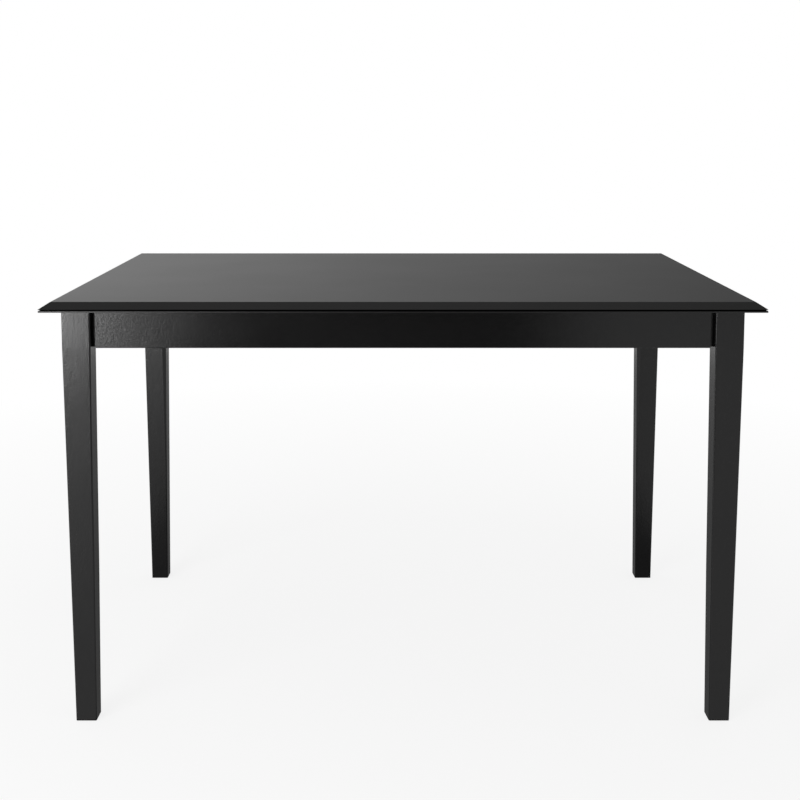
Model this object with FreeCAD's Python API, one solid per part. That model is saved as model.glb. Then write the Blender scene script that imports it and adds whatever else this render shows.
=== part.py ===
"""Dining table: a bevelled top on four aprons and four tapered legs.

The legs are bolted to corner blocks inside the aprons, so each leg comes off for
moving. All sizes are in millimetres. The origin is on the floor under the middle
of the table, +X runs along its length, the front is at -Y and +Z is up.
"""

import FreeCAD, Part
import math
import os

# Whole table
table_length = 1219.0
table_width = 813.0
table_height = 746.0

# Tabletop and the moulding round its edge, from the bevel down to the lip
top_thickness = 16.1
bevel_run = 16.6
bevel_drop = 10.8
bevel_arris_radius = 4.0
nose_height = 0.5
crease_height = 2.0
crease_depth = 3.0
lip_round_radius = 0.6

# Legs
leg_inset = 30.5
leg_top_side = 48.8
leg_taper = 6.5
leg_edge_radius = 2.5
leg_chamfer_depth = 7.0

# Aprons, with the slot that is rebated into the face beside each leg
apron_height = 65.5
apron_thickness = 20.0
apron_setback = 2.0
apron_edge_radius = 1.5
slot_width = 8.4
slot_depth = 14.0

# Corner blocks
corner_block_thickness = 22.0
corner_block_gap = 3.0
corner_block_lift = 3.0
corner_block_edge_radius = 2.0

# Hanger bolts and what is on them
bolt_diameter = 8.0
bolt_tip_cover = 20.0
bolt_point_length = 6.0
bolt_end_beyond_nut = 4.0
bolt_end_chamfer = 1.0
bolt_hole_clearance = 1.0
bolt_height_shares = (0.25, 0.75)
thread_clearance = 0.2
flat_washer_diameter = 16.0
flat_washer_thickness = 1.6
spring_washer_diameter = 13.0
spring_washer_thickness = 2.0
spring_washer_split = 1.5
washer_hole_clearance = 0.4
nut_across_flats = 13.0
nut_height = 6.5
nut_corner_chamfer = 0.7

# Wood screws with pan heads
screw_diameter = 4.0
screw_head_diameter = 8.0
screw_head_height = 2.6
screw_head_round = 1.2
screw_recess_width = 1.2
screw_recess_length = 4.4
screw_recess_depth = 1.4
screw_point_length = 3.0
screw_tip_cover = 5.0
screw_hole_clearance = 0.5
counterbore_clearance = 1.0

# Where the screws of the corner blocks sit
side_screw_grip = 9.0
side_screw_height_shares = (0.22, 0.78)
top_screw_grip = 20.0
top_screw_offset = 18.0

# Fixing blocks in the angle between aprons and top
fixing_block_side = 20.0
fixing_block_length = 60.0
fixing_block_chamfer = 5.0
fixing_screw_offset = 15.0
fixing_block_place_share = 0.5

# Centre rail and its angle brackets
rail_thickness = 18.0
rail_height = 45.0
rail_edge_radius = 1.5
rail_screw_place_shares = (-0.6, 0.0, 0.6)
bracket_flange = 26.0
bracket_height = 30.0
bracket_thickness = 2.0
bracket_bend_radius = 3.0
bracket_screw_offset = 16.0
bracket_screw_spacing = 16.0
bracket_screw_length = 12.0

# Foot glides
glide_diameter = 22.0
glide_thickness = 2.0
glide_edge_radius = 0.8
nail_diameter = 2.0
nail_length = 14.0
nail_point_length = 2.0
nail_head_diameter = 6.0
nail_head_height = 0.8
nail_head_recess = 0.5

# One overrun serves all cuts, and one tolerance finds edges by their place
overrun = 1.0
place_tolerance = 0.001

CORNERS = {
    "front_left": (-1, -1),
    "front_right": (1, -1),
    "back_left": (-1, 1),
    "back_right": (1, 1),
}

ORIGIN = FreeCAD.Vector(0, 0, 0)
ALONG_X = FreeCAD.Vector(1, 0, 0)
ALONG_Y = FreeCAD.Vector(0, 1, 0)
UP = FreeCAD.Vector(0, 0, 1)
ROOT_TWO = math.sqrt(2)

# Planes that several pieces share, in the corner where x and y are positive
top_underside = table_height - top_thickness
apron_bottom = top_underside - apron_height
leg_outer_x = table_length / 2 - leg_inset
leg_outer_y = table_width / 2 - leg_inset
leg_inner_x = leg_outer_x - leg_top_side
leg_inner_y = leg_outer_y - leg_top_side
leg_centre_x = (leg_outer_x + leg_inner_x) / 2
leg_centre_y = (leg_outer_y + leg_inner_y) / 2
apron_outer_x = leg_outer_x - apron_setback
apron_outer_y = leg_outer_y - apron_setback
apron_inner_x = apron_outer_x - apron_thickness
apron_inner_y = apron_outer_y - apron_thickness

# Places along the line from the leg's inner corner into the leg: the block lies before it
block_outer = leg_chamfer_depth - corner_block_gap
block_inner = block_outer - corner_block_thickness
block_bottom = apron_bottom + corner_block_lift


def box(low, high):
    """A box from its lowest corner to its highest corner."""
    return Part.makeBox(high[0] - low[0], high[1] - low[1], high[2] - low[2], FreeCAD.Vector(*low))


def cylinder(diameter, length, start, direction):
    """A cylinder that runs from a point in a direction."""
    return Part.makeCylinder(diameter / 2, length, start, direction)


def in_corner(shape, signs):
    """The shape of the positive corner, mirrored into the corner with these signs."""
    if signs[0] < 0:
        shape = shape.mirror(ORIGIN, ALONG_X)
    if signs[1] < 0:
        shape = shape.mirror(ORIGIN, ALONG_Y)
    return shape


def in_all_corners(shapes):
    """Each shape of the positive corner, in all four corners."""
    return [in_corner(shape, signs) for shape in shapes for signs in CORNERS.values()]


def on_diagonal(shape):
    """Turn a shape whose X axis is the corner's diagonal, from the leg's inner corner outwards."""
    turned = shape.copy()
    rotation = FreeCAD.Rotation(UP, 45)
    corner = FreeCAD.Vector(leg_inner_x, leg_inner_y, 0)
    turned.Placement = FreeCAD.Placement(corner, rotation).multiply(turned.Placement)
    return turned


def edges_at(shape, height, direction=None):
    """The straight edges of a shape at a height, or only those along a direction."""
    found = []
    for edge in shape.Edges:
        ends = [vertex.Point for vertex in edge.Vertexes]
        if len(ends) != 2 or not all(near(end.z, height) for end in ends):
            continue
        run = (ends[1] - ends[0]).normalize()
        if direction is None or near(abs(run.dot(direction)), 1):
            found.append(edge)
    return found


def near(value, place):
    """Whether a coordinate lies at a place."""
    return abs(value - place) < place_tolerance


def rounded_square(centre_x, centre_y, side, radius, height):
    """A level wire: a square with rounded corners round a centre."""
    half = side / 2
    straight = half - radius
    bulge = straight + radius / ROOT_TWO
    edges = []
    for quarter in range(4):
        rotation = FreeCAD.Rotation(UP, 90 * quarter)
        centre = FreeCAD.Vector(centre_x, centre_y, height)
        side_start, side_end, corner_middle, corner_end = [
            centre + rotation.multVec(FreeCAD.Vector(x, y, 0))
            for x, y in ((half, -straight), (half, straight), (bulge, bulge), (straight, half))
        ]
        edges.append(Part.LineSegment(side_start, side_end).toShape())
        edges.append(Part.Arc(side_end, corner_middle, corner_end).toShape())
    return Part.Wire(edges)


def frustum(low_half_x, low_half_y, low_z, high_half_x, high_half_y, high_z):
    """A solid with flat sloping sides between two level rectangles round the Z axis."""
    signs = ((-1, -1), (1, -1), (1, 1), (-1, 1))
    low = [FreeCAD.Vector(sx * low_half_x, sy * low_half_y, low_z) for sx, sy in signs]
    high = [FreeCAD.Vector(sx * high_half_x, sy * high_half_y, high_z) for sx, sy in signs]
    loops = [low, high]
    for side in range(4):
        after = (side + 1) % 4
        loops.append([low[side], low[after], high[after], high[side]])
    faces = [Part.Face(Part.makePolygon(loop + loop[:1])) for loop in loops]
    solid = Part.Solid(Part.makeShell(faces))
    if solid.Volume < 0:
        solid.reverse()
    return solid


def level_slab(inset, low_z, high_z):
    """A slab of the tabletop's outline, drawn in by an inset."""
    half_x = table_length / 2 - inset
    half_y = table_width / 2 - inset
    return box((-half_x, -half_y, low_z), (half_x, half_y, high_z))


class Screw:
    """A pan head wood screw: the seat under its head, its direction, grip and length."""

    def __init__(self, seat, direction, grip, length):
        self.seat = seat
        self.direction = direction
        self.grip = grip
        self.length = length

    def solid(self):
        """The screw, with a cross recess in its head."""
        shank_length = self.length - screw_point_length
        shank = Part.makeCylinder(screw_diameter / 2, shank_length)
        point = Part.makeCone(screw_diameter / 2, 0, screw_point_length,
                              FreeCAD.Vector(0, 0, shank_length))
        head = Part.makeCylinder(screw_head_diameter / 2, screw_head_height,
                                 FreeCAD.Vector(0, 0, -screw_head_height))
        rim = [edge for edge in head.Edges if near(edge.CenterOfMass.z, -screw_head_height)]
        head = head.makeFillet(screw_head_round, rim)
        recess_floor = screw_recess_depth - screw_head_height
        half_length = screw_recess_length / 2
        half_width = screw_recess_width / 2
        bars = [
            box((-half_length, -half_width, -screw_head_height - overrun),
                (half_length, half_width, recess_floor)),
            box((-half_width, -half_length, -screw_head_height - overrun),
                (half_width, half_length, recess_floor)),
        ]
        screw = shank.fuse([point, head]).removeSplitter().cut(bars)
        screw.Placement = FreeCAD.Placement(self.seat, FreeCAD.Rotation(UP, self.direction))
        return screw.Solids[0]

    def clearance_hole(self, counterbore_length):
        """The hole through the piece that the screw holds, with a bore for the head behind it."""
        start = self.seat - self.direction * overrun
        hole = cylinder(screw_diameter + screw_hole_clearance, self.grip + 2 * overrun,
                        start, self.direction)
        if counterbore_length == 0:
            return hole
        bore = cylinder(screw_head_diameter + counterbore_clearance, counterbore_length,
                        self.seat, -self.direction)
        return hole.fuse(bore)

    def pilot_hole(self):
        """The hole in the piece that the screw bites into."""
        return cylinder(screw_diameter + thread_clearance, self.length + thread_clearance,
                        self.seat, self.direction)


def corner_side_screws():
    """The screws that hold the positive corner's block to its two aprons."""
    diagonal_sum = leg_inner_x + leg_inner_y
    middle_sum = diagonal_sum + ROOT_TWO * (block_outer + block_inner) / 2
    block_height = top_underside - block_bottom
    length = side_screw_grip + apron_thickness - screw_tip_cover
    screws = []
    for share in side_screw_height_shares:
        height = block_bottom + share * block_height
        on_long = FreeCAD.Vector(middle_sum - apron_inner_y, apron_inner_y - side_screw_grip, height)
        on_short = FreeCAD.Vector(apron_inner_x - side_screw_grip, middle_sum - apron_inner_x, height)
        screws.append(Screw(on_long, ALONG_Y, side_screw_grip, length))
        screws.append(Screw(on_short, ALONG_X, side_screw_grip, length))
    return screws


def upward_screw(x, y, grip):
    """A screw that goes up into the tabletop and stops short of its face."""
    seat = FreeCAD.Vector(x, y, top_underside - grip)
    return Screw(seat, UP, grip, grip + top_thickness - screw_tip_cover)


def corner_top_screws():
    """The screws that go up through the positive corner's block into the top."""
    along = (block_outer + block_inner) / 2 / ROOT_TWO
    across = top_screw_offset / ROOT_TWO
    return [
        upward_screw(leg_inner_x + along - side * across, leg_inner_y + along + side * across,
                     top_screw_grip)
        for side in (-1, 1)
    ]


def rail_top_screws():
    """The screws that go up through the centre rail into the top."""
    return [upward_screw(0, share * apron_inner_y, top_screw_grip) for share in rail_screw_place_shares]


def long_fixing_places():
    """The middles, along X, of the fixing blocks on each long apron."""
    place = fixing_block_place_share * leg_inner_x
    return (-place, place)


def long_fixing_screws(x):
    """The two screws of a fixing block on the long apron at +Y: sideways, then upwards."""
    seat = FreeCAD.Vector(x - fixing_screw_offset, apron_inner_y - fixing_block_side,
                          top_underside - fixing_block_side / 2)
    length = fixing_block_side + apron_thickness - screw_tip_cover
    return [
        Screw(seat, ALONG_Y, fixing_block_side, length),
        upward_screw(x + fixing_screw_offset, apron_inner_y - fixing_block_side / 2, fixing_block_side),
    ]


def short_fixing_screws():
    """The two screws of the fixing block on the short apron at +X: sideways, then upwards."""
    seat = FreeCAD.Vector(apron_inner_x - fixing_block_side, -fixing_screw_offset,
                          top_underside - fixing_block_side / 2)
    length = fixing_block_side + apron_thickness - screw_tip_cover
    return [
        Screw(seat, ALONG_X, fixing_block_side, length),
        upward_screw(apron_inner_x - fixing_block_side / 2, fixing_screw_offset, fixing_block_side),
    ]


def bracket_screws():
    """The screws of the angle bracket at the rail's back end, into the rail and the apron."""
    rail_face = rail_thickness / 2
    middle = top_underside - rail_height / 2
    screws = []
    for side in (-1, 1):
        height = middle + side * bracket_screw_spacing / 2
        on_rail = FreeCAD.Vector(rail_face + bracket_thickness,
                                 apron_inner_y - bracket_screw_offset, height)
        on_apron = FreeCAD.Vector(rail_face + bracket_screw_offset,
                                  apron_inner_y - bracket_thickness, height)
        screws.append(Screw(on_rail, -ALONG_X, bracket_thickness, bracket_screw_length))
        screws.append(Screw(on_apron, ALONG_Y, bracket_thickness, bracket_screw_length))
    return screws


def half_turned(shape):
    """A shape turned by half a turn about the Z axis."""
    turned = shape.copy()
    turned.rotate(ORIGIN, UP, 180)
    return turned


def with_half_turned(shapes):
    """Each shape, and each one turned by half a turn."""
    return shapes + [half_turned(shape) for shape in shapes]


def fixing_side_screws():
    """The sideways screws of the fixing blocks at the back and on the right."""
    return [long_fixing_screws(x)[0] for x in long_fixing_places()] + short_fixing_screws()[:1]


def fixing_top_screws():
    """The upward screws of the fixing blocks at the back and on the right."""
    return [long_fixing_screws(x)[1] for x in long_fixing_places()] + short_fixing_screws()[1:]


def solids_of(screws):
    """The solids of a list of screws."""
    return [screw.solid() for screw in screws]


def pilot_holes_of(screws):
    """The pilot holes of a list of screws."""
    return [screw.pilot_hole() for screw in screws]


def top_pilot_holes():
    """The blind holes in the underside of the top."""
    return (in_all_corners(pilot_holes_of(corner_top_screws()))
            + pilot_holes_of(rail_top_screws())
            + with_half_turned(pilot_holes_of(fixing_top_screws())))


def make_tabletop():
    """The board: flat top, bevel, thin nose, crease and upright lip."""
    bevel_foot = table_height - bevel_drop
    crease_top = bevel_foot - nose_height
    crease_foot = crease_top - crease_height
    bevel = frustum(table_length / 2, table_width / 2, bevel_foot,
                    table_length / 2 - bevel_run, table_width / 2 - bevel_run, table_height)
    lip = level_slab(0, top_underside, crease_foot)
    lip = lip.makeFillet(lip_round_radius, edges_at(lip, top_underside))
    bands = [
        level_slab(0, crease_top, bevel_foot),
        level_slab(crease_depth, crease_foot, crease_top),
        lip,
    ]
    board = bevel.fuse(bands).removeSplitter()
    board = board.makeFillet(bevel_arris_radius, edges_at(board, table_height))
    return board.cut(top_pilot_holes())


def make_leg():
    """The positive corner's leg: straight beside the aprons, tapered on four sides below.

    The flat for the bolts on its inner corner runs straight down and fades out in the taper.
    """
    foot_z = glide_thickness
    knee = rounded_square(leg_centre_x, leg_centre_y, leg_top_side, leg_edge_radius, apron_bottom)
    foot = rounded_square(leg_centre_x, leg_centre_y, leg_top_side - 2 * leg_taper,
                          leg_edge_radius, foot_z)
    upper = Part.Face(knee).extrude(UP * apron_height)
    lower = Part.makeLoft([foot, knee], True, True)
    flat = box((-overrun, -leg_chamfer_depth - overrun, foot_z - overrun),
               (leg_chamfer_depth, leg_chamfer_depth + overrun, top_underside + overrun))
    holes = hanger_bolts(thread_clearance) + [nail(thread_clearance)]
    return upper.fuse(lower).removeSplitter().cut([on_diagonal(flat)] + holes)


def make_long_apron():
    """The apron at +Y, between two legs."""
    board = box((-leg_inner_x, apron_inner_y, apron_bottom), (leg_inner_x, apron_outer_y, top_underside))
    board = board.makeFillet(apron_edge_radius, edges_at(board, apron_bottom, ALONG_X))
    slot = box((leg_inner_x - slot_width, apron_outer_y - slot_depth, apron_bottom - overrun),
               (leg_inner_x + overrun, apron_outer_y + overrun, top_underside + overrun))
    slots = [slot, slot.mirror(ORIGIN, ALONG_X)]
    corner_holes = in_all_corners(pilot_holes_of(corner_side_screws()))
    middle_holes = pilot_holes_of(fixing_side_screws() + bracket_screws())
    return board.cut(slots + corner_holes + middle_holes)


def make_short_apron():
    """The apron at +X, between two legs."""
    board = box((apron_inner_x, -leg_inner_y, apron_bottom), (apron_outer_x, leg_inner_y, top_underside))
    board = board.makeFillet(apron_edge_radius, edges_at(board, apron_bottom, ALONG_Y))
    slot = box((apron_outer_x - slot_depth, leg_inner_y - slot_width, apron_bottom - overrun),
               (apron_outer_x + overrun, leg_inner_y + overrun, top_underside + overrun))
    slots = [slot, slot.mirror(ORIGIN, ALONG_Y)]
    corner_holes = in_all_corners(pilot_holes_of(corner_side_screws()))
    return board.cut(slots + corner_holes + pilot_holes_of(fixing_side_screws()))


def make_corner_block():
    """The positive corner's block, across the corner between the aprons' inner faces."""
    reach = apron_thickness + corner_block_thickness + leg_top_side
    slab = on_diagonal(box((block_inner, -reach, block_bottom), (block_outer, reach, top_underside)))
    room = box((0, 0, block_bottom - overrun), (apron_inner_x, apron_inner_y, top_underside + overrun))
    block = slab.common(room).removeSplitter()
    diagonal_way = FreeCAD.Vector(-1, 1, 0).normalize()
    inner_low_edge = min(edges_at(block, block_bottom, diagonal_way), key=lambda edge: edge.CenterOfMass.x)
    block = block.makeFillet(corner_block_edge_radius, [inner_low_edge])
    holes = [
        on_diagonal(cylinder(bolt_diameter + bolt_hole_clearance, corner_block_thickness + 2 * overrun,
                             FreeCAD.Vector(block_inner - overrun, 0, height), ALONG_X))
        for height in bolt_heights()
    ]
    holes += [screw.clearance_hole(corner_block_thickness) for screw in corner_side_screws()]
    bore_length = top_underside - top_screw_grip - block_bottom + overrun
    holes += [screw.clearance_hole(bore_length) for screw in corner_top_screws()]
    return block.cut(holes)


def make_long_fixing_block(x):
    """A fixing block on the long apron at +Y, with its lower inner edge cut off."""
    block = box((x - fixing_block_length / 2, apron_inner_y - fixing_block_side,
                 top_underside - fixing_block_side),
                (x + fixing_block_length / 2, apron_inner_y, top_underside))
    low_edges = edges_at(block, top_underside - fixing_block_side, ALONG_X)
    inner_edge = min(low_edges, key=lambda edge: edge.CenterOfMass.y)
    block = block.makeChamfer(fixing_block_chamfer, [inner_edge])
    return block.cut([screw.clearance_hole(0) for screw in long_fixing_screws(x)])


def make_short_fixing_block():
    """The fixing block on the short apron at +X, with its lower inner edge cut off."""
    block = box((apron_inner_x - fixing_block_side, -fixing_block_length / 2,
                 top_underside - fixing_block_side),
                (apron_inner_x, fixing_block_length / 2, top_underside))
    low_edges = edges_at(block, top_underside - fixing_block_side, ALONG_Y)
    inner_edge = min(low_edges, key=lambda edge: edge.CenterOfMass.x)
    block = block.makeChamfer(fixing_block_chamfer, [inner_edge])
    return block.cut([screw.clearance_hole(0) for screw in short_fixing_screws()])


def make_centre_rail():
    """The rail under the middle of the top, from apron to apron."""
    bottom = top_underside - rail_height
    rail = box((-rail_thickness / 2, -apron_inner_y, bottom),
               (rail_thickness / 2, apron_inner_y, top_underside))
    rail = rail.makeFillet(rail_edge_radius, edges_at(rail, bottom, ALONG_Y))
    bore_length = rail_height - top_screw_grip + overrun
    holes = [screw.clearance_hole(bore_length) for screw in rail_top_screws()]
    return rail.cut(holes + with_half_turned(pilot_holes_of(bracket_screws())))


def make_back_bracket():
    """The angle bracket in the corner between the rail's back end and the back apron."""
    rail_face = rail_thickness / 2
    middle = top_underside - rail_height / 2
    low = middle - bracket_height / 2
    high = middle + bracket_height / 2
    on_rail = box((rail_face, apron_inner_y - bracket_flange, low),
                  (rail_face + bracket_thickness, apron_inner_y, high))
    on_apron = box((rail_face, apron_inner_y - bracket_thickness, low),
                   (rail_face + bracket_flange, apron_inner_y, high))
    bracket = on_rail.fuse(on_apron).removeSplitter()
    bend = [
        edge for edge in bracket.Edges
        if near(edge.CenterOfMass.x, rail_face) and near(edge.CenterOfMass.y, apron_inner_y)
    ]
    bracket = bracket.makeFillet(bracket_bend_radius, bend)
    return bracket.cut([screw.clearance_hole(0) for screw in bracket_screws()])


def bolt_heights():
    """The heights of the two bolts of a leg."""
    return [apron_bottom + share * apron_height for share in bolt_height_shares]


def hanger_bolts(extra_diameter):
    """The positive corner's two bolts, or their holes where a clearance is added."""
    start = (block_inner - flat_washer_thickness - spring_washer_thickness - nut_height
             - bolt_end_beyond_nut)
    shoulder = ROOT_TWO * leg_top_side - bolt_tip_cover - bolt_point_length
    diameter = bolt_diameter + extra_diameter
    bolts = []
    for height in bolt_heights():
        shank = cylinder(diameter, shoulder - start, FreeCAD.Vector(start, 0, height), ALONG_X)
        start_rim = [edge for edge in shank.Edges if near(edge.CenterOfMass.x, start)]
        shank = shank.makeChamfer(bolt_end_chamfer, start_rim)
        point = Part.makeCone(diameter / 2, 0, bolt_point_length + extra_diameter,
                              FreeCAD.Vector(shoulder, 0, height), ALONG_X)
        bolts.append(on_diagonal(shank.fuse(point).removeSplitter()))
    return bolts


def ring(outer_diameter, thickness, start, height):
    """A washer on the bolt's axis, from a place on the diagonal back towards the table's middle."""
    place = FreeCAD.Vector(start, 0, height)
    disc = cylinder(outer_diameter, thickness, place, -ALONG_X)
    hole_start = place + ALONG_X * overrun
    hole = cylinder(bolt_diameter + washer_hole_clearance, thickness + 2 * overrun, hole_start, -ALONG_X)
    return disc.cut(hole)


def flat_washers():
    """The positive corner's two flat washers, against the corner block."""
    return [
        on_diagonal(ring(flat_washer_diameter, flat_washer_thickness, block_inner, height))
        for height in bolt_heights()
    ]


def spring_washers():
    """The positive corner's two split washers, against the flat washers."""
    start = block_inner - flat_washer_thickness
    washers = []
    for height in bolt_heights():
        split = box((start - spring_washer_thickness - overrun, -spring_washer_split / 2, height),
                    (start + overrun, spring_washer_split / 2, height + spring_washer_diameter))
        washer = ring(spring_washer_diameter, spring_washer_thickness, start, height)
        washers.append(on_diagonal(washer.cut(split)))
    return washers


def hex_nuts():
    """The positive corner's two hexagon nuts, against the spring washers."""
    start = block_inner - flat_washer_thickness - spring_washer_thickness
    corner_radius = nut_across_flats / math.sqrt(3)
    nuts = []
    for height in bolt_heights():
        corners = [
            FreeCAD.Vector(start, corner_radius * math.cos(math.radians(60 * side)),
                           height + corner_radius * math.sin(math.radians(60 * side)))
            for side in range(6)
        ]
        prism = Part.Face(Part.makePolygon(corners + corners[:1])).extrude(-ALONG_X * nut_height)
        blank = cylinder(2 * corner_radius, nut_height, FreeCAD.Vector(start, 0, height), -ALONG_X)
        rims = [edge for edge in blank.Edges if len(edge.Vertexes) == 1]
        blank = blank.makeChamfer(nut_corner_chamfer, rims)
        hole = cylinder(bolt_diameter + thread_clearance, nut_height + 2 * overrun,
                        FreeCAD.Vector(start + overrun, 0, height), -ALONG_X)
        nuts.append(on_diagonal(prism.common(blank).cut(hole)))
    return nuts


def nail(extra_diameter):
    """The positive corner's glide nail, or its hole where a clearance is added."""
    foot = FreeCAD.Vector(leg_centre_x, leg_centre_y, nail_head_recess)
    neck = foot + UP * nail_head_height
    shank_length = nail_length - nail_head_height - nail_point_length
    head = cylinder(nail_head_diameter + extra_diameter, nail_head_height, foot, UP)
    shank = cylinder(nail_diameter + extra_diameter, shank_length, neck, UP)
    point = Part.makeCone((nail_diameter + extra_diameter) / 2, 0, nail_point_length + extra_diameter,
                          neck + UP * shank_length, UP)
    return head.fuse([shank, point]).removeSplitter()


def make_foot_glide():
    """The positive corner's nylon disc under the leg, with room for its nail."""
    foot = FreeCAD.Vector(leg_centre_x, leg_centre_y, 0)
    disc = cylinder(glide_diameter, glide_thickness, foot, UP)
    low_rim = [edge for edge in disc.Edges if near(edge.CenterOfMass.z, 0)]
    disc = disc.makeFillet(glide_edge_radius, low_rim)
    mouth = cylinder(nail_head_diameter + thread_clearance, nail_head_recess + nail_head_height, foot, UP)
    hole = cylinder(nail_diameter + thread_clearance, glide_thickness + overrun, foot, UP)
    return disc.cut([mouth, hole])


def make_pieces():
    """Every node's name with the solids in it."""
    long_apron = make_long_apron()
    short_apron = make_short_apron()
    pieces = {
        "tabletop": [make_tabletop()],
        "front_apron": [half_turned(long_apron)],
        "back_apron": [long_apron],
        "left_apron": [half_turned(short_apron)],
        "right_apron": [short_apron],
        "centre_rail": [make_centre_rail()],
        "front_rail_bracket": [half_turned(make_back_bracket())],
        "back_rail_bracket": [make_back_bracket()],
    }
    leg = make_leg()
    block = make_corner_block()
    glide = make_foot_glide()
    for corner, signs in CORNERS.items():
        pieces["leg_" + corner] = [in_corner(leg, signs)]
        pieces["corner_block_" + corner] = [in_corner(block, signs)]
        pieces["foot_glide_" + corner] = [in_corner(glide, signs)]
    for x in long_fixing_places():
        block = make_long_fixing_block(x)
        side, opposite_side = ("left", "right") if x < 0 else ("right", "left")
        pieces["fixing_block_back_" + side] = [block]
        pieces["fixing_block_front_" + opposite_side] = [half_turned(block)]
    pieces["fixing_block_left"] = [half_turned(make_short_fixing_block())]
    pieces["fixing_block_right"] = [make_short_fixing_block()]
    pieces["hanger_bolts"] = in_all_corners(hanger_bolts(0))
    pieces["flat_washers"] = in_all_corners(flat_washers())
    pieces["spring_washers"] = in_all_corners(spring_washers())
    pieces["hex_nuts"] = in_all_corners(hex_nuts())
    pieces["glide_nails"] = in_all_corners([nail(0)])
    pieces["corner_block_screws"] = in_all_corners(solids_of(corner_side_screws()))
    pieces["fixing_block_screws"] = with_half_turned(solids_of(fixing_side_screws()))
    pieces["rail_bracket_screws"] = with_half_turned(solids_of(bracket_screws()))
    pieces["top_screws"] = (in_all_corners(solids_of(corner_top_screws()))
                            + solids_of(rail_top_screws())
                            + with_half_turned(solids_of(fixing_top_screws())))
    return pieces


def main():
    os.makedirs("parts", exist_ok=True)
    for name, solids in make_pieces().items():
        shape = solids[0] if len(solids) == 1 else Part.makeCompound(solids)
        shape.exportStep(os.path.join("parts", name + ".step"))
        print(name, len(solids), "solids,", round(shape.Volume), "mm3, valid", shape.isValid())


main()
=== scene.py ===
"""Looks of the dining table: satin black lacquer on the wood, raw blocks and plated steel beneath.

The frame holds every shape at its real size. This script lights it, sets the camera, gives each
node its finish and cuts the thread of the hanger bolts. Lengths are in metres, angles in degrees.
"""

import math

import bmesh
import bpy
import mathutils
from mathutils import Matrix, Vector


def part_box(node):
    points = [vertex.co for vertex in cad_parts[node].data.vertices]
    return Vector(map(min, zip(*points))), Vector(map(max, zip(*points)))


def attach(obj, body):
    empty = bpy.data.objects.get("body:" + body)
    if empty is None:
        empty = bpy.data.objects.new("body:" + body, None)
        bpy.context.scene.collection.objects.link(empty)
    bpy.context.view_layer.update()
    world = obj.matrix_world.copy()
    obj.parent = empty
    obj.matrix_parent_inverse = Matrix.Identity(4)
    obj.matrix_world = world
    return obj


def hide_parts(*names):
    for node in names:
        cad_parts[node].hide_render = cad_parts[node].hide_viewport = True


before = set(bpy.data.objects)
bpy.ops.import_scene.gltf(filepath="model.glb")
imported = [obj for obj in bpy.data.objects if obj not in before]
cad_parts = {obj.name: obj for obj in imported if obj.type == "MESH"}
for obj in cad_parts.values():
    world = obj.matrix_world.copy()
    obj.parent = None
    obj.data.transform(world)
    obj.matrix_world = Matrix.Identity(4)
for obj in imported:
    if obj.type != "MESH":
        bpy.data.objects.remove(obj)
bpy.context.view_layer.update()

# Camera, in front of the table and a little above its top
camera_place = (-0.0100, -2.5301, 1.0538)
camera_pitch = 5.784
camera_lens = 57.88
camera_sensor = 36.0
camera_shift = (0.0037, -0.19)

# A camera or a lamp looks straight down until it is turned, and level after this turn
level_angle = 90

# Stage: a round floor that fades to white
white = (1, 1, 1, 1)
floor_radius = 9.0
floor_sides = 96
floor_albedo = 0.8
floor_roughness = 1.0
floor_glow_near = 0.84
floor_glow_far = 1.0
floor_fade_start = 0.8
floor_fade_end = 2.6

# Grey dome that only gloss sees, lighter to the left, in front and straight overhead
dome_radius = 5.0
dome_sides = 96
dome_rows = 12
dome_half_width = 2.0
dome_half_depth = 1.0
dome_left_light = 1.0
dome_middle_light = 0.52
dome_right_light = 0.21
dome_front_light = 0.9
dome_ceiling_light = 0.26
dome_overhead_light = 0.6
dome_wall_height = 1.2
dome_ceiling_height = 3.4
dome_overhead_start = 4.2
dome_overhead_height = 4.7

# Dark card that only gloss sees, in front of the table
card_light = 0.03
card_place = (-0.1, -1.5)
card_width = 1.06
card_height = 0.9

# Floor panels that only gloss sees: the shade under the table and the softbox's pool in front
floor_panel_height = 0.001
shade_half_width = 0.65
shade_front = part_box("front_apron")[0].y
shade_fade_start = 0.4
shade_back = 3.4
shade_dark_light = 0.16
shade_back_light = 0.3
pool_left = -2.6
pool_right = -0.75
pool_front = -3.25
pool_back = -0.6
pool_bright_light = 2.0
pool_dim_light = 1.0

# Light: an even sky and one softbox at the front left
sky_light = 0.6
sky_shown = 1.0
softbox_place = (-2.6, -3.3, 0.7)
softbox_width = 2.5
softbox_height = 1.2
softbox_radiance = 24.0

# Heights in the tabletop's edge, and how far the mask of painted shade in the crease goes past it
# and fades
lip_height = 0.0028
crease_height = 0.002
crease_margin = 0.0004
mask_softness = 0.0002
underside_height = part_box("tabletop")[0].z
crease_middle = underside_height + lip_height + crease_height / 2
crease_reach = crease_height / 2 + crease_margin

# Hanger bolts, on the diagonal of each corner. Their ends are measured from the leg's inner corner
table_corners = ((-1, -1), (1, -1), (-1, 1), (1, 1))
leg_inner_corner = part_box("leg_front_left")[1]
bolts_low, bolts_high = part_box("hanger_bolts")
bolt_radius = 0.004
bolt_corner = (-leg_inner_corner.x, -leg_inner_corner.y)
bolt_heights = (bolts_low.z + bolt_radius, bolts_high.z - bolt_radius)
bolt_start = -0.0321
bolt_shoulder = 0.0430
bolt_tip = 0.0490
bolt_end_chamfer = 0.001
bolt_sides = 32
thread_pitch = 0.00125
thread_depth = 0.00068
thread_turns = 7
merge_distance = 0.00001
sharp_edge_angle = 30
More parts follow.
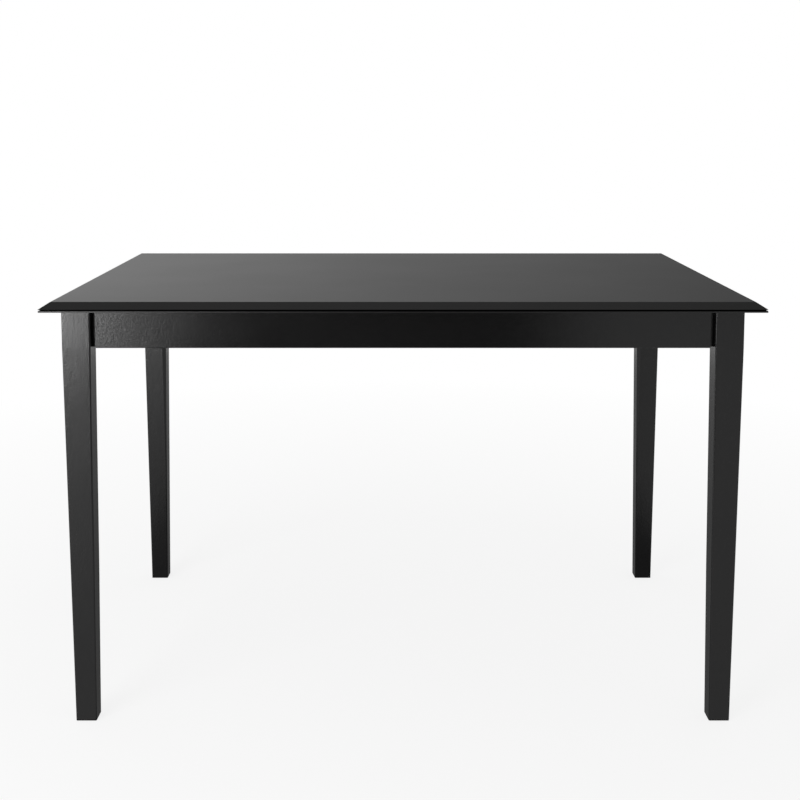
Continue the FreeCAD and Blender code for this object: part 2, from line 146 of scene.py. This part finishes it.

# Finishes, as linear colours. The first is no finish but painted shade, for the crease in the top's
# edge
painted_crease_shade = (0.0004, 0.0004, 0.0004)
black_deep = (0.0028, 0.0028, 0.0030)
black_worn = (0.0050, 0.0049, 0.0048)
sealer_dark = (0.010, 0.0085, 0.0075)
sealer_light = (0.022, 0.018, 0.015)
wood_pale = (0.62, 0.43, 0.24)
wood_dark = (0.42, 0.26, 0.13)
zinc_bright = (0.60, 0.62, 0.65)
zinc_dull = (0.44, 0.46, 0.49)
passivate_gold = (0.72, 0.55, 0.25)
passivate_green = (0.50, 0.52, 0.30)
nylon_grey = (0.022, 0.022, 0.023)
nylon_scuffed = (0.045, 0.045, 0.046)

# Roughness from the smoothest spots to the dullest, and the index of refraction
wood_satin = (0.19, 0.23)
top_satin = (0.328, 0.338)
underside_dulling = 0.3
raw_wood_dullness = (0.55, 0.72)
zinc_dullness = (0.22, 0.42)
passivate_dullness = (0.25, 0.45)
nylon_dullness = (0.45, 0.65)
lacquer_index = 1.34
wood_index = 1.45
nylon_index = 1.5

# How deep the textures go, and how much of that the shading shows
wood_grain_depth = 0.00013
wood_mottle_depth = 0.00015
top_grain_depth = 0.00005
top_mottle_depth = 0.00003
fibre_depth = 0.0004
fibre_strength = 0.6
plate_grit_depth = 0.00004
plate_grit_strength = 0.5
nylon_grit_depth = 0.00006
nylon_grit_strength = 0.6

# Features to the metre. Grain has fewer of them along the wood's length
along_table = (50, 150, 150)
along_top = (14, 160, 160)
across_table = (150, 50, 150)
upright = (150, 150, 50)
lacquer_mottle = (330, 330, 330)
lacquer_clouds = (7, 7, 7)
sealer_streaks = (40, 300, 300)
corner_block_growth = (6, 60, 60)
fixing_block_growth = (10, 70, 70)
rail_growth = (60, 6, 60)
fibres_to_growth = 9.0
plate_clouds = (160, 160, 160)
plate_grit = (2600, 2600, 2600)
nylon_scuffs = (300, 90, 300)
nylon_grit = (1800, 1800, 1800)

# The part of a noise's range that counts, and how much of a finer noise is added to a coarse one
single_noise_range = (0.3, 0.7)
summed_noise_range = (0.45, 0.85)
plate_noise_range = (0.5, 1.0)
scuff_range = (0.5, 0.7)
mottle_share = 0.3
fibre_share = 0.35
grit_share = 0.5

# What every node's name starts with, for the nodes that no other words fit
any_name = ""


class Look:
    """A node material, with short ways to add nodes and to join them."""

    def __init__(self, name):
        self.material = bpy.data.materials.new(name)
        self.material.use_nodes = True
        self.tree = self.material.node_tree
        self.shader = self.tree.nodes["Principled BSDF"]
        self.place = self.add("TexCoord").outputs["Object"]

    def add(self, kind, inputs=None, settings=None):
        """A new node. An input is given a value, or another node's output to join."""
        node = self.tree.nodes.new("ShaderNode" + kind)
        for name, value in (settings or {}).items():
            setattr(node, name, value)
        for name, value in (inputs or {}).items():
            self.put(node, name, value)
        return node

    def put(self, node, name, value):
        """Set one input of a node, or join it to an output."""
        if isinstance(value, bpy.types.NodeSocket):
            self.tree.links.new(value, node.inputs[name])
        else:
            node.inputs[name].default_value = value

    def noise(self, stretch, detail, roughness=0.5, place=None):
        """Noise with that many features to the metre along each axis, from 0 to 1."""
        spread = self.add("Mapping", {"Vector": place or self.place, "Scale": stretch})
        noise = self.add("TexNoise", {"Vector": spread.outputs["Vector"], "Scale": 1.0,
                                      "Detail": detail, "Roughness": roughness})
        return noise.outputs["Fac"]

    def ranged(self, value, low, high, into_low, into_high):
        """A value taken from one range into another, and kept inside it."""
        node = self.add("MapRange", {"Value": value, "From Min": low, "From Max": high,
                                     "To Min": into_low, "To Max": into_high})
        return node.outputs["Result"]

    def mixed(self, share, first, second):
        """A colour between two others. A Mix node takes colours at 6 and 7, and gives one at 2."""
        node = self.add("Mix", settings={"data_type": "RGBA"})
        factor, first_input, second_input = node.inputs[0], node.inputs[6], node.inputs[7]
        self.tree.links.new(share, factor)
        for socket, colour in ((first_input, first), (second_input, second)):
            if isinstance(colour, bpy.types.NodeSocket):
                self.tree.links.new(colour, socket)
            else:
                socket.default_value = (*colour, 1)
        return node.outputs[2]

    def sum_of(self, first, second, share=1.0):
        """The first value plus a share of the second."""
        node = self.add("Math", {0: second, 1: share, 2: first}, {"operation": "MULTIPLY_ADD"})
        return node.outputs["Value"]

    def bumped(self, height, depth, strength=1.0):
        """Raise the surface by a height, of up to that depth."""
        bump = self.add("Bump", {"Height": height, "Distance": depth, "Strength": strength})
        self.put(self.shader, "Normal", bump.outputs["Normal"])

    def gloss(self, roughness, index=None):
        """Set how rough the surface is, and its index of refraction if one is given."""
        self.put(self.shader, "Roughness", roughness)
        if index:
            self.put(self.shader, "IOR", index)


def lacquer(name, grain, roughness, grain_depth, mottle_depth):
    """Black satin lacquer sprayed over wood, whose grain runs where the features are long."""
    look = Look(name)
    coarse = look.noise(grain, detail=4.0, roughness=0.6)
    mottle = look.noise(lacquer_mottle, detail=2.0, roughness=0.6)
    cloud = look.noise(lacquer_clouds, detail=2.0)
    look.bumped(look.sum_of(coarse, mottle, mottle_depth / grain_depth), grain_depth)
    colour = look.mixed(coarse, black_deep, black_worn)
    gloss = look.ranged(look.sum_of(cloud, mottle, mottle_share), *summed_noise_range, *roughness)
    return look, colour, gloss


def wood_lacquer(name, grain):
    """The lacquer of a leg or an apron."""
    look, colour, gloss = lacquer(name, grain, wood_satin, wood_grain_depth, wood_mottle_depth)
    look.put(look.shader, "Base Color", colour)
    look.gloss(gloss, lacquer_index)
    return look.material


def top_lacquer(name):
    """The top's smoother lacquer, with painted shade that makes the edge's crease black, and a dull
    sealer beneath.
    """
    look, colour, gloss = lacquer(name, along_top, top_satin, top_grain_depth, top_mottle_depth)
    height = look.add("SeparateXYZ", {"Vector": look.place}).outputs["Z"]
    offset = look.add("Math", {0: height, 1: crease_middle}, {"operation": "SUBTRACT"})
    distance = look.add("Math", {0: offset.outputs["Value"]}, {"operation": "ABSOLUTE"})
    # Painted shade in the edge's crease: this mask makes the crease near-black and metallic, so that
    # it reflects nothing
    crease = look.ranged(distance.outputs["Value"], crease_reach, crease_reach + mask_softness, 1, 0)
    beneath = look.ranged(height, underside_height, underside_height + mask_softness, 1, 0)
    streaks = look.noise(sealer_streaks, detail=4.0, roughness=0.6)
    sealer = look.mixed(streaks, sealer_dark, sealer_light)
    colour = look.mixed(beneath, look.mixed(crease, colour, painted_crease_shade), sealer)
    look.put(look.shader, "Base Color", colour)
    look.put(look.shader, "Metallic", crease)
    look.gloss(look.sum_of(gloss, beneath, underside_dulling), lacquer_index)
    return look.material


def mirrored_diagonal(look):
    """The place mirrored into one corner, and turned so that X runs across its diagonal."""
    corner = look.add("VectorMath", {0: look.place}, {"operation": "ABSOLUTE"})
    turned = look.add("VectorRotate", {"Vector": corner.outputs["Vector"], "Angle": math.pi / 4},
                      {"rotation_type": "Z_AXIS"})
    return turned.outputs["Vector"]


def raw_wood(name, stretch, mirrored=False):
    """Pale planed wood with darker growth lines. Mirrored corners share one diagonal grain."""
    look = Look(name)
    place = mirrored_diagonal(look) if mirrored else look.place
    growth = look.noise(stretch, detail=2.0, place=place)
    fibre_stretch = [fibres_to_growth * count for count in stretch]
    fibre = look.noise(fibre_stretch, detail=3.0, roughness=0.6, place=place)
    share = look.ranged(look.sum_of(growth, fibre, fibre_share), *summed_noise_range, 0, 1)
    look.put(look.shader, "Base Color", look.mixed(share, wood_pale, wood_dark))
    look.bumped(fibre, fibre_depth, fibre_strength)
    look.gloss(look.ranged(fibre, *single_noise_range, *raw_wood_dullness), wood_index)
    return look.material


def plated_steel(name, bright, dull, roughness):
    """Zinc plate, whose tint and gloss wander a little."""
    look = Look(name)
    cloud = look.noise(plate_clouds, detail=3.0)
    grit = look.noise(plate_grit, detail=2.0)
    look.put(look.shader, "Base Color", look.mixed(cloud, bright, dull))
    look.put(look.shader, "Metallic", 1.0)
    look.gloss(look.ranged(look.sum_of(cloud, grit, grit_share), *plate_noise_range, *roughness))
    look.bumped(grit, plate_grit_depth, plate_grit_strength)
    return look.material


def gold_plate(name):
    """Zinc plate with a yellow passivate, as on screws and nails."""
    return plated_steel(name, passivate_gold, passivate_green, passivate_dullness)


def moulded_nylon(name):
    """Dull nylon with a moulded grain and scuffs from the floor."""
    look = Look(name)
    scuff = look.noise(nylon_scuffs, detail=4.0, roughness=0.7)
    grit = look.noise(nylon_grit, detail=2.0)
    share = look.ranged(scuff, *scuff_range, 0, 1)
    look.put(look.shader, "Base Color", look.mixed(share, nylon_grey, nylon_scuffed))
    look.gloss(look.ranged(scuff, *single_noise_range, *nylon_dullness), nylon_index)
    look.bumped(grit, nylon_grit_depth, nylon_grit_strength)
    return look.material


def seen_by_camera_or_gloss(tree):
    """1 for rays from the camera and for mirrored or refracted ones, 0 for the light itself."""
    rays = tree.nodes.new("ShaderNodeLightPath")
    share = rays.outputs["Is Camera Ray"]
    for other in ("Is Glossy Ray", "Is Transmission Ray"):
        larger = tree.nodes.new("ShaderNodeMath")
        larger.operation = "MAXIMUM"
        tree.links.new(share, larger.inputs[0])
        tree.links.new(rays.outputs[other], larger.inputs[1])
        share = larger.outputs["Value"]
    return share


def link_object(name, data):
    """A new object in the scene."""
    made = bpy.data.objects.new(name, data)
    bpy.context.scene.collection.objects.link(made)
    return made


def make_camera():
    """Look straight along the table's depth, tilted a little down."""
    data = bpy.data.cameras.new("camera")
    data.sensor_width = camera_sensor
    data.lens = camera_lens
    data.shift_x, data.shift_y = camera_shift
    camera = link_object("camera", data)
    camera.location = camera_place
    camera.rotation_euler = (math.radians(level_angle - camera_pitch), 0, 0)
    bpy.context.scene.camera = camera
    bpy.context.scene.view_settings.view_transform = "Standard"


def make_world():
    """White to the camera and in gloss, and an even soft sky for the light."""
    world = bpy.data.worlds.new("white room")
    bpy.context.scene.world = world
    world.use_nodes = True
    tree = world.node_tree
    background = tree.nodes["Background"]
    background.inputs["Color"].default_value = white
    level = tree.nodes.new("ShaderNodeMapRange")
    level.inputs["To Min"].default_value = sky_light
    level.inputs["To Max"].default_value = sky_shown
    tree.links.new(seen_by_camera_or_gloss(tree), level.inputs["Value"])
    tree.links.new(level.outputs["Result"], background.inputs["Strength"])


def ring(radius, height, sides):
    """Points of a circle at a height."""
    turn = 2 * math.pi / sides
    angles = [side * turn for side in range(sides)]
    return [(radius * math.cos(angle), radius * math.sin(angle), height) for angle in angles]


def make_floor():
    """A pale round floor that keeps the table's soft shadow and fades to the white room."""
    mesh = bpy.data.meshes.new("floor")
    mesh.from_pydata(ring(floor_radius, 0, floor_sides), [], [list(range(floor_sides))])
    floor = link_object("floor", mesh)
    look = Look("white floor")
    look.put(look.shader, "Base Color", (floor_albedo, floor_albedo, floor_albedo, 1))
    look.put(look.shader, "Specular IOR Level", 0)
    look.gloss(floor_roughness)
    distance = look.add("VectorMath", {0: look.place}, {"operation": "LENGTH"})
    share = look.ranged(distance.outputs["Value"], floor_fade_start, floor_fade_end,
                        floor_glow_near, floor_glow_far)
    shown = look.add("Math", {0: share, 1: seen_by_camera_or_gloss(look.tree)},
                     {"operation": "MULTIPLY"})
    glow = look.add("Emission", {"Color": white, "Strength": 1.0})
    both = look.add("MixShader", {"Fac": shown.outputs["Value"], 1: look.shader.outputs["BSDF"],
                                  2: glow.outputs["Emission"]})
    look.put(look.tree.nodes["Material Output"], "Surface", both.outputs["Shader"])
    mesh.materials.append(look.material)


def make_panel(name, points, faces, light_of):
    """A glowing panel that only reflections show. light_of gives its strength from its nodes."""
    mesh = bpy.data.meshes.new(name)
    mesh.from_pydata(points, [], faces)
    panel = link_object(name, mesh)
    panel.visible_camera = False
    panel.visible_diffuse = False
    panel.visible_shadow = False
    panel.visible_transmission = False
    look = Look(name + " light")
    glow = look.add("Emission", {"Color": white, "Strength": light_of(look)})
    look.put(look.tree.nodes["Material Output"], "Surface", glow.outputs["Emission"])
    mesh.materials.append(look.material)


def dome_light(look):
    """Lighter to the left and in front, a dark ceiling, and a lighter patch straight overhead."""
    place = look.add("SeparateXYZ", {"Vector": look.place}).outputs
    left = look.ranged(place["X"], -dome_half_width, 0, dome_left_light, dome_middle_light)
    right = look.ranged(place["X"], 0, dome_half_width, 0, dome_right_light - dome_middle_light)
    back = look.sum_of(left, right)
    front_share = look.ranged(place["Y"], -dome_half_depth, dome_half_depth, 1, 0)
    wall = look.ranged(front_share, 0, 1, back, dome_front_light)
    ceiling_share = look.ranged(place["Z"], dome_wall_height, dome_ceiling_height, 0, 1)
    ceiling = look.ranged(ceiling_share, 0, 1, wall, dome_ceiling_light)
    return look.ranged(place["Z"], dome_overhead_start, dome_overhead_height, ceiling,
                       dome_overhead_light)


def make_dome():
    """The studio's grey walls and ceiling, as one half sphere."""
    points = []
    for row in range(dome_rows):
        lift = math.pi / 2 * row / dome_rows
        points += ring(dome_radius * math.cos(lift), dome_radius * math.sin(lift), dome_sides)
    faces = []
    for row in range(dome_rows - 1):
        for side in range(dome_sides):
            after = (side + 1) % dome_sides
            lower, upper = row * dome_sides, (row + 1) * dome_sides
            faces.append((lower + side, lower + after, upper + after, upper + side))
    faces.append([(dome_rows - 1) * dome_sides + side for side in range(dome_sides)])
    make_panel("dome", points, faces, dome_light)


def make_card():
    """A dark card in front of the table, which keeps the middle of the apron black."""
    across, depth = card_place
    left, right = across - card_width / 2, across + card_width / 2
    corners = [(left, 0), (right, 0), (right, card_height), (left, card_height)]
    make_panel("dark card", [(x, depth, z) for x, z in corners], [(0, 1, 2, 3)],
               lambda look: card_light)


def make_floor_panel(name, sides, light_of):
    """A panel just over the floor, from its left, right, front and back sides."""
    left, right, front, back = sides
    corners = [(left, front), (right, front), (right, back), (left, back)]
    make_panel(name, [(x, y, floor_panel_height) for x, y in corners], [(0, 1, 2, 3)], light_of)


def shade_light(look):
    """Dark under the table, and paler further back."""
    depth = look.add("SeparateXYZ", {"Vector": look.place}).outputs["Y"]
    return look.ranged(depth, shade_fade_start, shade_back, shade_dark_light, shade_back_light)


def pool_light(look):
    """Brightest near the softbox."""
    depth = look.add("SeparateXYZ", {"Vector": look.place}).outputs["Y"]
    return look.ranged(depth, pool_front, pool_back, pool_bright_light, pool_dim_light)


def make_floor_panels():
    """What the legs mirror of the floor: the shade behind them and the softbox's pool in front."""
    shade_sides = (-shade_half_width, shade_half_width, shade_front, shade_back)
    pool_sides = (pool_left, pool_right, pool_front, pool_back)
    make_floor_panel("shade", shade_sides, shade_light)
    make_floor_panel("pool", pool_sides, pool_light)


def make_softbox():
    """The one bright light, low at the front left, which faces along the table's depth."""
    data = bpy.data.lights.new("softbox", "AREA")
    data.shape = "RECTANGLE"
    data.size, data.size_y = softbox_width, softbox_height
    data.energy = softbox_radiance * math.pi * softbox_width * softbox_height
    softbox = link_object("softbox", data)
    softbox.location = softbox_place
    softbox.rotation_euler = (math.radians(level_angle), 0, 0)
    softbox.visible_camera = False


def bolt_spot(row, share):
    """How far along a bolt a point lies, and how far off its axis.

    The rows climb by half a pitch, crest and root in turn, and share is the part of a turn.
    """
    thread_end = thread_turns * thread_pitch
    climbed = (row / 2 - 1 + share) * thread_pitch
    along = min(thread_end, max(0, climbed))
    depth = thread_depth * min(1, (thread_end - along) / thread_pitch)
    radius = bolt_radius - depth * (row % 2)
    return along, min(radius, bolt_radius - bolt_end_chamfer + along)


def bolt_rings():
    """The rings of a bolt's points from end to tip, each as a list of places and radii.

    The thread has two rows to a turn, from one turn before its start to one turn past its end.
    """
    shares = [side / bolt_sides for side in range(bolt_sides + 1)]
    rings = [[(0, 0)] * len(shares)]
    for row in range(2 * thread_turns + 3):
        rings.append([bolt_spot(row, share) for share in shares])
    rings.append([(bolt_shoulder - bolt_start, bolt_radius)] * len(shares))
    rings.append([(bolt_tip - bolt_start, 0)] * len(shares))
    return rings


def add_bolt(shape, corner_signs, height):
    """Add one threaded bolt on a corner's diagonal."""
    x_sign, y_sign = corner_signs
    corner = mathutils.Vector((x_sign * bolt_corner[0], y_sign * bolt_corner[1], height))
    axis = mathutils.Vector((x_sign, y_sign, 0)).normalized()
    up = mathutils.Vector((0, 0, 1))
    across = axis.cross(up)
    rows = []
    for ring_spots in bolt_rings():
        row = []
        for side, (along, radius) in enumerate(ring_spots):
            angle = 2 * math.pi * (side % bolt_sides) / bolt_sides
            outward = math.cos(angle) * up + math.sin(angle) * across
            row.append(shape.verts.new(corner + (bolt_start + along) * axis + radius * outward))
        rows.append(row)
    for lower, upper in zip(rows, rows[1:]):
        for side in range(bolt_sides):
            shape.faces.new((lower[side], lower[side + 1], upper[side + 1], upper[side]))


def make_threaded_bolts(material):
    """The hanger bolts, with a right-hand thread on the end that takes the nut."""
    shape = bmesh.new()
    for corner_signs in table_corners:
        for height in bolt_heights:
            add_bolt(shape, corner_signs, height)
    bmesh.ops.remove_doubles(shape, verts=shape.verts, dist=merge_distance)
    bmesh.ops.recalc_face_normals(shape, faces=shape.faces)
    mesh = bpy.data.meshes.new("threaded_bolts")
    shape.to_mesh(mesh)
    shape.free()
    mesh.shade_smooth()
    mesh.set_sharp_from_angle(angle=math.radians(sharp_edge_angle))
    mesh.materials.append(material)
    bolts = link_object("threaded_bolts", mesh)
    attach(bolts, "root")
    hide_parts("hanger_bolts")


def finishes():
    """The finish of each node, by the first words of its name, the longer words first."""
    return {
        "tabletop": top_lacquer("lacquered_top"),
        "front_apron": wood_lacquer("lacquered_front", along_table),
        "back_apron": wood_lacquer("lacquered_back", along_table),
        "left_apron": wood_lacquer("lacquered_left", across_table),
        "right_apron": wood_lacquer("lacquered_right", across_table),
        "leg": wood_lacquer("lacquered_leg", upright),
        "corner_block_screws": gold_plate("gold_screws"),
        "corner_block": raw_wood("raw_corner_block", corner_block_growth, mirrored=True),
        "fixing_block_screws": gold_plate("gold_small_screws"),
        "fixing_block": raw_wood("raw_fixing_block", fixing_block_growth),
        "centre_rail": raw_wood("raw_rail", rail_growth),
        "foot_glide": moulded_nylon("moulded_glide"),
        "glide_nails": gold_plate("gold_nails"),
        "top_screws": gold_plate("gold_top_screws"),
        "rail_bracket_screws": gold_plate("gold_bracket_screws"),
        any_name: plated_steel("bright_zinc", zinc_bright, zinc_dull, zinc_dullness),
    }


def dress_nodes(looks):
    """Give every node its finish."""
    for name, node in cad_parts.items():
        start = next(words for words in looks if name.startswith(words))
        node.data.materials.clear()
        node.data.materials.append(looks[start])


make_camera()
make_world()
make_floor()
make_dome()
make_card()
make_floor_panels()
make_softbox()
node_looks = finishes()
dress_nodes(node_looks)
make_threaded_bolts(node_looks[any_name])
